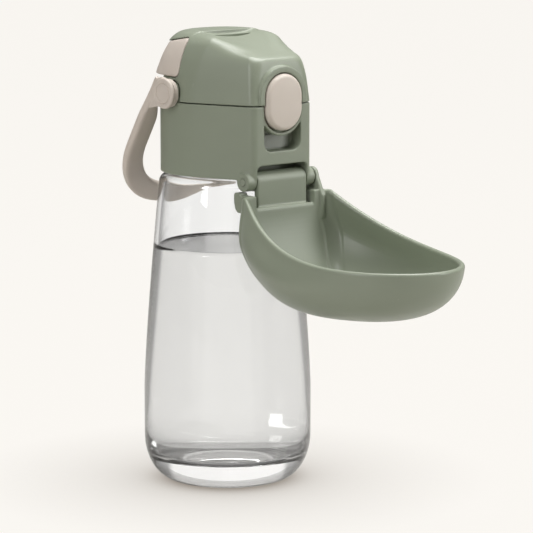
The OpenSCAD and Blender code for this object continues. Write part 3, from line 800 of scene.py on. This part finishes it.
def pad_space(gap):
    """Room for the grip pad in the lid's rear, which rises forwards and has round front corners."""
    x, r = PAD_FRONT - gap, PAD_CORNER_R - gap
    low, high = PAD_Z - PART_GAP + gap, HOOD_Z + PAD_RISE - gap
    back = 2 * CAP_R
    return along_y([(-back, low)] + arc(r, x - r, low + r, 270, 360.001, 10)
                   + arc(r, x - r, high - r, 0, 75, 10)
                   + [(-CAP_R, HOOD_Z - PAD_RISE - gap), (-back, HOOD_Z - PAD_RISE - gap)], -back, back)


def lens_outline():
    """Outline of the slot in the lid's top, pointed at both ends."""
    w = SLOT_W / 2
    r = (SLOT_LEN ** 2 / 4 + w * w) / (2 * w)
    half = math.degrees(math.asin(SLOT_LEN / 2 / r))
    return (arc(r, SLOT_X + w - r, 0, -half, half, 40)
            + arc(r, SLOT_X + r - w, 0, 180 - half, 180 + half, 40)[1:-1])


def lid_arch():
    """Raised arch round the button's upper end."""
    w = POCKET_HALF_W + ARCH_W
    arch = along_x(stadium(w, BUTTON_LOW, BUTTON_TOP + POCKET_GAP + ARCH_W),
                   CAP_FRONT - LID_WALL, CAP_FRONT + ARCH_PROUD)
    return shared(arch, box(0, 2 * CAP_FRONT, -2 * w, 2 * w, LID_Z, LID_Z + LID_H))


def make_lid():
    lid = join(lid_form(), hood_form(), lid_arch(),
               bar_y(LID_BARREL_R, -LID_KNUCKLE_HALF, LID_KNUCKLE_HALF, LID_HINGE_X, LID_HINGE_Z),
               box(LID_HINGE_X, -CAP_R + LID_WALL, -LID_KNUCKLE_HALF, LID_KNUCKLE_HALF,
                   LID_Z, LID_HINGE_Z + LID_BARREL_R))
    cutters = [along_z(cap_plan(LID_WALL), LID_Z - OVERRUN, CAVITY_TOP),
               cut(pad_space(0), lid_form(PAD_T + 2 * SEAT)),
               along_x(stadium(POCKET_HALF_W, BUTTON_LOW, BUTTON_TOP + POCKET_GAP),
                       POCKET_X - POCKET_GAP, CAP_FRONT + 3 * BUTTON_EDGE),
               bar_y(LID_PIN_R + SEAT, -CAP_R, CAP_R, LID_HINGE_X, LID_HINGE_Z)]
    for side in (-1, 1):
        near, far = sorted((side * (EAR_INNER_Y - PART_GAP), side * 2 * CAP_R))
        cutters.append(box(PIVOT_X - EAR_R - PART_GAP, PIVOT_X + EAR_R + PART_GAP, near, far,
                           LID_Z - OVERRUN, PIVOT_Z))
        cutters.append(bar_y(EAR_R + PART_GAP, near, far, PIVOT_X, PIVOT_Z))
        near, far = sorted((side * LID_KNUCKLE_HALF, side * (LID_KNUCKLE_HALF + LID_EAR_LEN + 2 * PART_GAP)))
        cutters.append(bar_y(LID_BARREL_R + PART_GAP, near, far, LID_HINGE_X, LID_HINGE_Z))
    lid = softened(cut(lid, *cutters), *LID_SOFTENING)
    floor_z = max(LID_TOP - SLOT_DEPTH, CAVITY_TOP + LID_WALL / 3)
    lid = cut(lid, along_z(lens_outline(), floor_z, LID_TOP + OVERRUN))
    crisp(lid)
    return stands_for(lid, "lid_shell", "lid_skin")


def make_grip_pad():
    pad = shared(cut(grip_form(), lid_form(PAD_T)), pad_space(PART_GAP))
    return stands_for(softened(pad, *PAD_SOFTENING), "rear_grip_pad", "grip_pad_skin")


def pocket_outline():
    """Outline of the button's pocket in the collar, with the finger recess at its foot."""
    r, w = RECESS_CORNER_R, POCKET_HALF_W
    top = COLLAR_TOP + OVERRUN
    return (arc(r, r - w, RECESS_Z + r, 180, 270, 16) + arc(r, w - r, RECESS_Z + r, 270, 360.001, 16)
            + [(w, top), (-w, top)])


def notch_outline():
    """Outline of the notch for the bowl's hinge barrel, round at its upper corners."""
    r, w, top = NOTCH_CORNER_R, KNUCKLE_Y, HINGE_Z + NOTCH_H
    return ([(-w, COLLAR_Z - OVERRUN), (w, COLLAR_Z - OVERRUN)] + arc(r, w - r, top - r, 0, 90, 12)
            + arc(r, r - w, top - r, 90, 180, 12))


def pocket_lip():
    """Thin curved lip that runs round the button's lower end."""
    outer, inner = POCKET_HALF_W + LIP_GAP + LIP_W, POCKET_HALF_W + LIP_GAP
    z = BUTTON_LOW + BUTTON_HALF_W
    outline = arc(outer, 0, z, 180, 360.001, 64) + arc(inner, 0, z, 180, 360.001, 64)[::-1]
    return along_x(outline, CAP_FRONT - 2.6 * LIP_W, CAP_FRONT - 0.1)


def make_collar():
    collar = along_z(cap_plan(), COLLAR_Z, COLLAR_TOP)
    adds = []
    cutters = [along_z(arc(CORE_R + SEAT, 0, 0), COLLAR_Z - OVERRUN, 2 * COLLAR_TOP),
               along_x(pocket_outline(), POCKET_X, CAP_FRONT + OVERRUN),
               along_x(notch_outline(), HINGE_X - BARREL_R - 2 * PART_GAP, CAP_FRONT + OVERRUN),
               bar_y(BOWL_PIN_R + 3 * SEAT, -KNUCKLE_END - OVERRUN, KNUCKLE_END + OVERRUN, HINGE_X, HINGE_Z),
               bar_y(HANDLE_PIN_R + SEAT, -2 * CAP_R, 2 * CAP_R, PIVOT_X, PIVOT_Z),
               bar_y(LID_PIN_R + SEAT, -CAP_R, CAP_R, LID_HINGE_X, LID_HINGE_Z),
               bar_y(LID_BARREL_R + PART_GAP, -LID_KNUCKLE_HALF - PART_GAP,
                     LID_KNUCKLE_HALF + PART_GAP, LID_HINGE_X, LID_HINGE_Z),
               along_x(arc(STEM_R + SEAT, 0, STEM_Z, steps=48), 0, CAP_FRONT)]
    for side in (-1, 1):
        near, far = sorted((side * KNUCKLE_Y, side * KNUCKLE_END))
        adds.append(bar_y(KNUCKLE_R, near, far, HINGE_X, HINGE_Z))
        near, far = sorted((side * EAR_INNER_Y, side * (CAP_R + SEAT)))
        adds.append(bar_y(EAR_R, near, far, PIVOT_X, PIVOT_Z))
        near, far = sorted((side * EAR_INNER_Y, side * (CAP_R - 0.6)))
        adds.append(box(PIVOT_X - EAR_R, PIVOT_X + EAR_R, near, far, COLLAR_TOP - 4 * PART_GAP, PIVOT_Z))
        near, far = sorted((side * (LID_KNUCKLE_HALF + PART_GAP),
                            side * (LID_KNUCKLE_HALF + PART_GAP + LID_EAR_LEN)))
        adds.append(bar_y(LID_BARREL_R, near, far, LID_HINGE_X, LID_HINGE_Z))
        adds.append(along_y([(LID_HINGE_X - LID_BARREL_R, LID_HINGE_Z),
                             (-CAP_R + COLLAR_WALL, LID_HINGE_Z - 3.4 * LID_BARREL_R),
                             (-CAP_R + COLLAR_WALL, COLLAR_TOP),
                             (LID_HINGE_X + LID_BARREL_R / 2, COLLAR_TOP)], near, far))
    collar = join(cut(join(collar, *adds), *cutters), pocket_lip())
    return stands_for(softened(collar, *COLLAR_SOFTENING), "collar", "collar_skin")


def make_button():
    """Button with a rounded edge and a faint dome, and the well for its spring."""
    x1, x0 = BUTTON_FRONT - BUTTON_DOME, BUTTON_FRONT - BUTTON_PROUD - BUTTON_T
    rings = []

    def ring(x, inset):
        outline = stadium(BUTTON_HALF_W - inset, BUTTON_LOW + inset, BUTTON_TOP - inset)
        rings.append([(x, u, v) for u, v in outline])

    ring(x0, 0.4)
    ring(x0 + 0.4, 0)
    for a in np.radians(np.linspace(0, 90, 14)):
        ring(x1 - BUTTON_EDGE + BUTTON_EDGE * math.sin(a), BUTTON_EDGE * (1 - math.cos(a)))
    for q in np.linspace(0, 1, 12)[1:]:
        inset = BUTTON_EDGE + q * (BUTTON_HALF_W - BUTTON_EDGE - 0.1)
        ring(x1 + BUTTON_DOME * (1 - (1 - q) ** 2), inset)
    button = cut(loft(rings), along_x(arc(WELL_R, 0, STEM_Z, steps=64), x0 - OVERRUN, x0 + WELL_DEPTH))
    crisp(button, 40)
    return stands_for(button, "button_cap", "button_skin")


def band_ring(inner, outer, thick):
    """Cross section of the handle's band: flat faces with round edges."""
    middle, half = (inner + outer) / 2, (outer - inner) / 2
    reach = np.linalg.norm(half)
    along = half / reach
    ring = []
    for a in np.linspace(0, TAU, 28, endpoint=False):
        u = math.copysign(abs(math.cos(a)) ** BAND_WIDTH_POWER, math.cos(a)) * reach
        v = math.copysign(abs(math.sin(a)) ** BAND_THICK_POWER, math.sin(a)) * thick / 2
        p = middle + along * u
        ring.append((v - ARM_OFFSET, p[1], -p[0]))
    return ring


def turned(points, angle, x, z):
    """Points turned about Y, from the pivot's own frame into the object's."""
    points = np.asarray(points, float)
    c, s = math.cos(angle), math.sin(angle)
    return np.c_[points[:, 0] * c + points[:, 2] * s + x, points[:, 1],
                 -points[:, 0] * s + points[:, 2] * c + z]


def handle_rings():
    arm_len = 0.5 * HANDLE_REACH
    bend = HANDLE_REACH - arm_len
    half = []
    for s in np.linspace(-0.05, 1, 42):
        flare = float(ease((s - FLARE_SHARES[0]) / FLARE_SHARES[1]))
        outer = EYE_Y + EYE_T + (HANDLE_HALF_W - EYE_Y - EYE_T) * flare
        inner = EYE_Y - (EYE_Y - HANDLE_HALF_W + BAND_W) * flare
        thick = float(smooth_through(ARM_SHARES, np.array(s))) * BAND_T
        half.append(band_ring(np.array((s * arm_len, inner)), np.array((s * arm_len, outer)), thick))
    for a in np.radians(np.linspace(0, 90, 40)[1:]):
        c = max(math.cos(a), 0.0)
        inner = np.array((arm_len + (bend - BAND_W) * math.sin(a), (HANDLE_HALF_W - BAND_W) * c))
        outer = np.array((arm_len + bend * math.sin(a), HANDLE_HALF_W * c ** BEND_POWER))
        half.append(band_ring(inner, outer, BAND_T))
    other = [[(p[0], -p[1], p[2]) for p in ring] for ring in half[-2::-1]]
    return half + other


def make_handle():
    rings = [turned(r, HANDLE_REST, PIVOT_X, PIVOT_Z) for r in handle_rings()]
    handle = loft(rings)
    adds = []
    for side in (-1, 1):
        near, far = sorted((side * EYE_Y, side * (EYE_Y + EYE_T)))
        adds.append(bar_y(EYE_R, near, far, PIVOT_X, PIVOT_Z))
        web = [(0, EYE_R - 0.2), (-0.8 * ARM_OFFSET, 0.6 * EYE_R),
               (-ARM_OFFSET - BAND_T / 3, 0.1 * EYE_R), (-ARM_OFFSET, -WEB_DROP),
               (BAND_T / 3 - ARM_OFFSET, -WEB_DROP), (0.15 * EYE_R, -0.95 * EYE_R)]
        corners = turned([(u, 0, v) for u, v in web], HANDLE_REST, PIVOT_X, PIVOT_Z)
        adds.append(along_y([(p[0], p[2]) for p in corners], near, far))
    bore = bar_y(HANDLE_PIN_R + SEAT, -2 * CAP_R, 2 * CAP_R, PIVOT_X, PIVOT_Z)
    handle = softened(cut(join(handle, *adds), bore), *HANDLE_SOFTENING)
    return stands_for(handle, "carry_handle", "handle_skin")


def revolved(profile, sides, closed=True, lift=None):
    """Vertices and faces of a profile of (radius, height) turned round the Z axis."""
    verts, faces = [], []
    n = len(profile)
    for k in range(sides):
        a = TAU * k / sides
        for r, z in profile:
            s = r + (lift(r, z, a) if lift else 0)
            verts.append((s * math.cos(a), s * math.sin(a), z))
    last = n if closed else n - 1
    for k in range(sides):
        a, b = k * n, (k + 1) % sides * n
        for i in range(last):
            j = (i + 1) % n
            faces.append((a + i, b + i, b + j, a + j))
    return verts, faces


def make_pins():
    """Round-headed pins with a shallow ring in each head."""
    groove = HEAD_RING_W / 2
    profile = [(AXIS_R, EAR_INNER_Y), (HANDLE_PIN_R, EAR_INNER_Y), (HANDLE_PIN_R, HEAD_Y),
               (HEAD_R - 0.3, HEAD_Y), (HEAD_R, HEAD_Y + 0.3)]
    top = HEAD_Y + HEAD_T
    profile += arc(HEAD_EDGE, HEAD_R - HEAD_EDGE, top - HEAD_EDGE, 0, 90, 12)
    for a in np.linspace(-1, 1, 13)[::-1]:
        dip = HEAD_RING_D * math.cos(a * math.pi / 2) ** 2
        profile.append((HEAD_RING_R + 1.6 * groove * a, top - dip))
    profile += [(0.6 * HEAD_RING_R, top), (AXIS_R, top)]
    verts, faces = revolved(profile, 128, closed=False)
    both_verts, both_faces = [], []
    for side in (-1, 1):
        start = len(both_verts)
        both_verts += [(x + PIVOT_X, side * z, y + PIVOT_Z) for x, y, z in verts]
        both_faces += [tuple(start + i for i in (f if side < 0 else f[::-1])) for f in faces]
    pins = new_solid("pin_heads", both_verts, both_faces)
    crisp(pins)
    return stands_for(pins, "handle_pins", "pin_heads")


def bowl_half_width(x):
    back = np.clip((BOWL_MID_X - x) / (BOWL_MID_X - BOWL_REAR_X), 0, 1)
    return BOWL_HALF_W - (BOWL_HALF_W - BOWL_REAR_HALF_W) * back ** BOWL_TAPER_POWER


def bowl_climb(x):
    """Share of the rim's climb to the shoulders, from 0 in front to 1 at the rear."""
    return np.clip((BOWL_RISE_X - x) / (BOWL_RISE_X - BOWL_REAR_X - BOWL_CORNER_R), 0, 1)


def bowl_plan(inset):
    """Plan of the bowl's rim and the rim's height at each point."""
    tip, rear, rc = BOWL_TIP_X - inset, BOWL_REAR_X + inset, BOWL_CORNER_R
    end_w = float(bowl_half_width(rear + rc)) - inset
    points = []
    for a in np.radians(np.linspace(0, 90, 49)):
        points.append((BOWL_MID_X + (tip - BOWL_MID_X) * math.cos(a), (BOWL_HALF_W - inset) * math.sin(a)))
    for x in np.linspace(BOWL_MID_X, rear + rc, 41)[1:]:
        points.append((x, float(bowl_half_width(x)) - inset))
    for a in np.radians(np.linspace(0, 90, 13)[1:]):
        points.append((rear + rc * (1 - math.sin(a)), end_w - rc * (1 - math.cos(a))))
    drop_at = len(points)
    for q in np.linspace(1, 0, 25)[1:]:
        points.append((rear, (end_w - rc) * q))
    half = np.array(points)
    z = BOWL_RIM_Z + (BOWL_SHOULDER_Z - BOWL_RIM_Z) * bowl_climb(half[:, 0]) ** BOWL_CLIMB_POWER
    z[drop_at + 1:] = BOWL_LEDGE_Z
    half = np.c_[half, z]
    return np.vstack([half, half[-2:0:-1] * (1, -1, 1)])


def bowl_ring(t, inset, bottom):
    """One ring of the bowl at share t of the way down, outside or inside."""
    side = math.cos(math.pi / 2 * t) ** BOWL_SIDE_POWER
    down = math.sin(math.pi / 2 * t)
    swell = BOWL_SWELL_SHARE * float(ease(3.2 * t))
    mid_x = BOWL_MID_X - 0.1 * BOWL_HALF_W
    p = bowl_plan(inset)
    return np.c_[mid_x + (p[:, 0] - mid_x) * side,
                 p[:, 1] * side * (1 + swell * ease(bowl_climb(p[:, 0]))),
                 p[:, 2] + (bottom - p[:, 2]) * down]


def bare_bowl():
    bottom = BOWL_RIM_Z - BOWL_DEPTH
    depths = 0.995 * np.sin(np.linspace(math.pi / 2, 0, 44))
    soft = BOWL_WALL / 2
    rings = [bowl_ring(t, 0, bottom) for t in depths[:-1]]
    for a in np.radians(np.linspace(0, 180, 11)):
        p = bowl_plan(soft * (1 - math.cos(a)))
        rings.append(np.c_[p[:, :2], p[:, 2] - soft * (1 - math.sin(a))])
    rings += [bowl_ring(t, BOWL_WALL, bottom + BOWL_WALL) for t in depths[-2::-1]]
    return loft(rings)


def make_bowl():
    plate_x = HINGE_X + BARREL_R - BOWL_WALL
    foot_z = BOWL_LEDGE_Z - BOWL_WALL
    adds = [bar_y(BARREL_R, -LEAF_HALF_W, LEAF_HALF_W, HINGE_X, HINGE_Z),
            along_y([(HINGE_X + BARREL_R, HINGE_Z), (HINGE_X, HINGE_Z), (plate_x, HINGE_Z - BARREL_R),
                     (plate_x, foot_z), (HINGE_X + BARREL_R, foot_z)], -LEAF_HALF_W, LEAF_HALF_W)]
    x0, z0 = HINGE_X - LUG_BACK, BOWL_SHOULDER_Z - LUG_H
    z1 = HINGE_Z - KNUCKLE_R - PART_GAP
    lug = [(x0, z0 + 0.6 * LUG_H), (x0 + 0.2 * LUG_BACK, z0 + 0.2 * LUG_H), (x0 + 0.6 * LUG_BACK, z0),
           (HINGE_X, z0), (HINGE_X, z1), (x0 + 0.2 * LUG_BACK, z1), (x0, z1 - 0.2 * LUG_BACK)]
    for side in (-1, 1):
        near, far = sorted((side * (KNUCKLE_END - BOWL_WALL), side * (BOWL_REAR_HALF_W - LUG_INSET)))
        adds.append(along_y(lug, near, far))
        adds.append(box(HINGE_X - PART_GAP, BOWL_REAR_X + BOWL_WALL, near, far, z0, BOWL_SHOULDER_Z))
    ear_r = KNUCKLE_R - PART_GAP / 2
    ear_y = KNUCKLE_END + EAR_GAP
    x1 = HINGE_X + RIB_W + BOWL_WALL / 2
    adds.append(bar_y(ear_r, ear_y, ear_y + EAR_T, HINGE_X, HINGE_Z))
    adds.append(along_y([(HINGE_X, HINGE_Z), (HINGE_X + 0.7 * ear_r, HINGE_Z + 0.7 * ear_r),
                         (x1, HINGE_Z - 0.4 * RIB_DROP), (x1, HINGE_Z - 0.9 * RIB_DROP),
                         (x1 - 0.2 * RIB_W, HINGE_Z - RIB_DROP), (HINGE_X, HINGE_Z - RIB_DROP)],
                        ear_y, ear_y + EAR_T))
    bowl = join(bare_bowl(), *adds)
    bowl = cut(bowl, bar_y(BOWL_PIN_R + 3 * SEAT, -CAP_R, CAP_R, HINGE_X, HINGE_Z))
    return stands_for(softened(bowl, *BOWL_SOFTENING), "bowl_shell", "bowl_skin")


def side_r(z):
    t = np.clip((z - BELLY_Z) / (SHOULDER_Z - BELLY_Z), 0, 1)
    return BODY_R - (BODY_R - SHOULDER_R) * t ** SIDE_POWER


def quarter(steps=24):
    return np.radians(np.linspace(0, 90, steps))


def thread_lift(r, z, a):
    """Height of the neck's screw thread over the bare neck."""
    low, high = SHOULDER_Z + SHOULDER_H + THREAD_MARGIN, NECK_TOP - THREAD_MARGIN
    if r < NECK_R - SEAT or z < low or z > high:
        return 0
    turn = (z / THREAD_PITCH - a / TAU) % 1
    return THREAD_H * max(0.0, 1 - abs(turn - 0.5) / THREAD_HALF_SHARE) ** THREAD_POWER


def make_bottle():
    inner_r = BODY_R - BOTTLE_WALL
    bore_r = NECK_R - NECK_WALL
    foot_w, foot_h = FOOT_W - BOTTLE_WALL, FOOT_H - FLOOR_T / 2
    profile = [(PUNT_R * math.cos(a), PUNT_H * math.sin(a)) for a in quarter()[::-1]]
    profile += [(BODY_R - FOOT_W * (1 - math.sin(a)), FOOT_H * (1 - math.cos(a))) for a in quarter()]
    profile += [(float(side_r(z)), z) for z in np.linspace(BELLY_Z, SHOULDER_Z, 40)]
    profile += [(NECK_R + (SHOULDER_R - NECK_R) * math.cos(a), SHOULDER_Z + SHOULDER_H * math.sin(a))
                for a in quarter()[1:]]
    profile += [(NECK_R, z) for z in np.linspace(SHOULDER_Z + SHOULDER_H + 0.5, NECK_TOP, 90)]
    profile.append((bore_r, NECK_TOP))
    profile += [(bore_r + (SHOULDER_R - BOTTLE_WALL - bore_r) * math.cos(a),
                 SHOULDER_Z + (SHOULDER_H - BOTTLE_WALL / 2) * math.sin(a)) for a in quarter()[::-1]]
    profile += [(float(side_r(z)) - BOTTLE_WALL, z) for z in np.linspace(SHOULDER_Z, BELLY_Z, 40)[1:]]
    profile += [(inner_r - foot_w * (1 - math.sin(a)), FLOOR_Z + foot_h * (1 - math.cos(a)))
                for a in quarter()[::-1]]
    profile = [(max(r, AXIS_R), z) for r, z in profile] + [(AXIS_R, FLOOR_Z)]
    verts, faces = revolved(profile, 256, closed=True, lift=thread_lift)
    bottle = facing_out(new_solid("bottle_skin", verts, faces))
    crisp(bottle)
    return stands_for(bottle, "bottle_body", "bottle_skin")


def make_water():
    """Water up to about half of the bottle, a hair past the wall so that no film of air shows."""
    foot_w, foot_h = FOOT_W - BOTTLE_WALL, FOOT_H - FLOOR_T / 2
    inner_r = BODY_R - BOTTLE_WALL + WATER_REACH
    floor_z = FLOOR_Z - WATER_REACH
    profile = [(AXIS_R, floor_z)]
    profile += [(inner_r - foot_w * (1 - math.sin(a)), floor_z + foot_h * (1 - math.cos(a)))
                for a in quarter()]
    profile += [(float(side_r(z)) - BOTTLE_WALL + WATER_REACH, z)
                for z in np.linspace(BELLY_Z, WATER_TOP, 30)]
    wall_r = profile[-1][0]
    profile += [(wall_r - 2 * MENISCUS * q, WATER_TOP - MENISCUS * (1 - (1 - q) ** 2))
                for q in np.linspace(0, 1, 10)[1:]]
    profile.append((AXIS_R, WATER_TOP - MENISCUS))
    verts, faces = revolved(profile, 192, closed=False)
    water = facing_out(new_solid("drinking_water", verts, faces))
    return as_piece(water, "bottle", material=clear_material("water", WATER, WATER_IOR))


def dress_frame():
    """Gives each CAD node its slot's material; the latch leaf then gets a grey copy of the plastic as painted
    shade.
    """
    for name, node in frame["nodes"].items():
        node.data.materials.clear()
        node.data.materials.append(MATERIALS[SLOTS[name]])
        node.data.polygons.foreach_set("use_smooth", [True] * len(node.data.polygons))
        crisp(node, 30)
    # Painted shade: the latch leaf, at the back of the recess under the button, gets a grey copy of the plastic
    frame["nodes"]["latch_leaf"].data.materials[0] = moulded_plastic("shaded_leaf", LEAF_SHADE_GREY, 0.35)


def make_floor():
    size = FLOOR_HALF_M / MM
    verts = [(-size, -size, 0), (size, -size, 0), (size, size, 0), (-size, size, 0)]
    floor = new_solid("floor", verts, [(0, 1, 2, 3)])
    as_piece(floor, None, material=floor_material(), smooth=False)


make_camera()
make_world()
for lamp in LAMPS:
    area_light(*lamp)
make_floor()
dress_frame()
make_bottle()
make_water()
make_collar()
make_lid()
make_grip_pad()
make_button()
make_handle()
make_pins()
make_bowl()

bpy.context.scene.view_settings.view_transform = "Standard"
